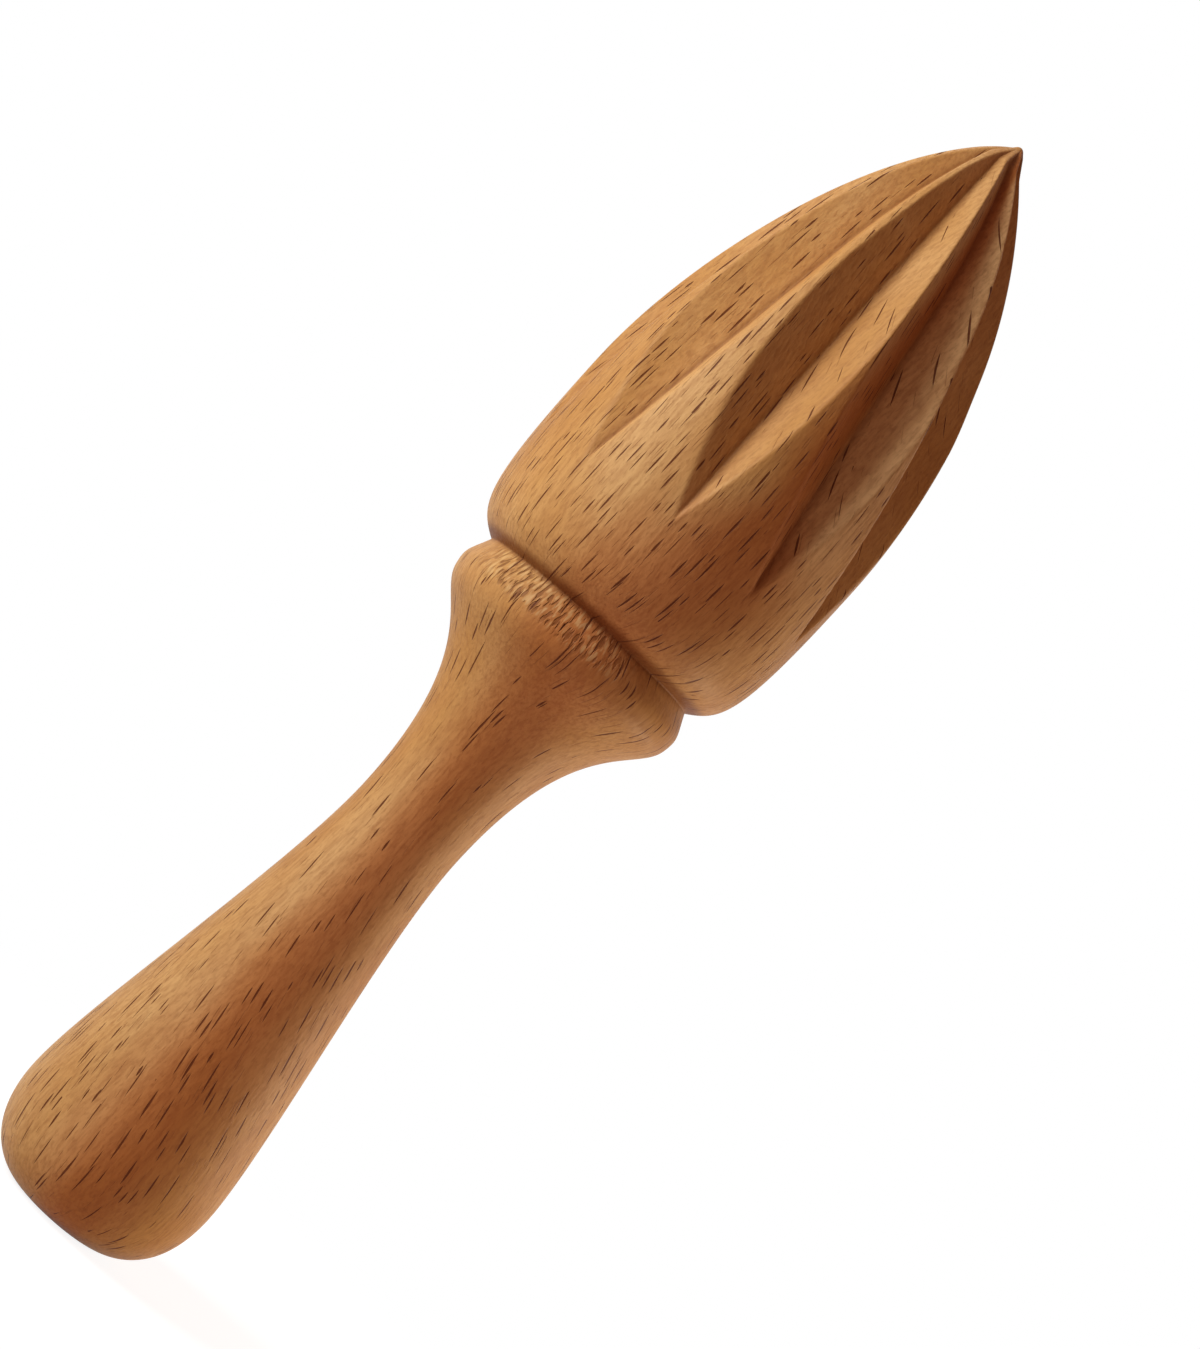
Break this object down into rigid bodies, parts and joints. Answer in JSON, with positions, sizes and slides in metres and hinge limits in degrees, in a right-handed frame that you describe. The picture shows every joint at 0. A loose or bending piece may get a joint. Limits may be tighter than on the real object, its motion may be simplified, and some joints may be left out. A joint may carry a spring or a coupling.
{
  "type": "citrus reamer",
  "caption": "Hand citrus reamer turned from one piece of wood, with a pointed fluted head, a grooved collar and a swelling handle.",
  "frame": {"origin": "centre of the flat at the butt of the handle, on the axis of the turning", "axes": "+Z along the axis from the butt to the tip; the valley of the first flute lies in the half plane toward -Y"},
  "size_m": [0.0376, 0.0374, 0.155],
  "materials": {
    "beech": "oiled satin beech, warm light orange-brown, with short dark ray flecks"
  },
  "bodies": {
    "root": {"reamer_body": "beech"}
  },
  "joints": []
}
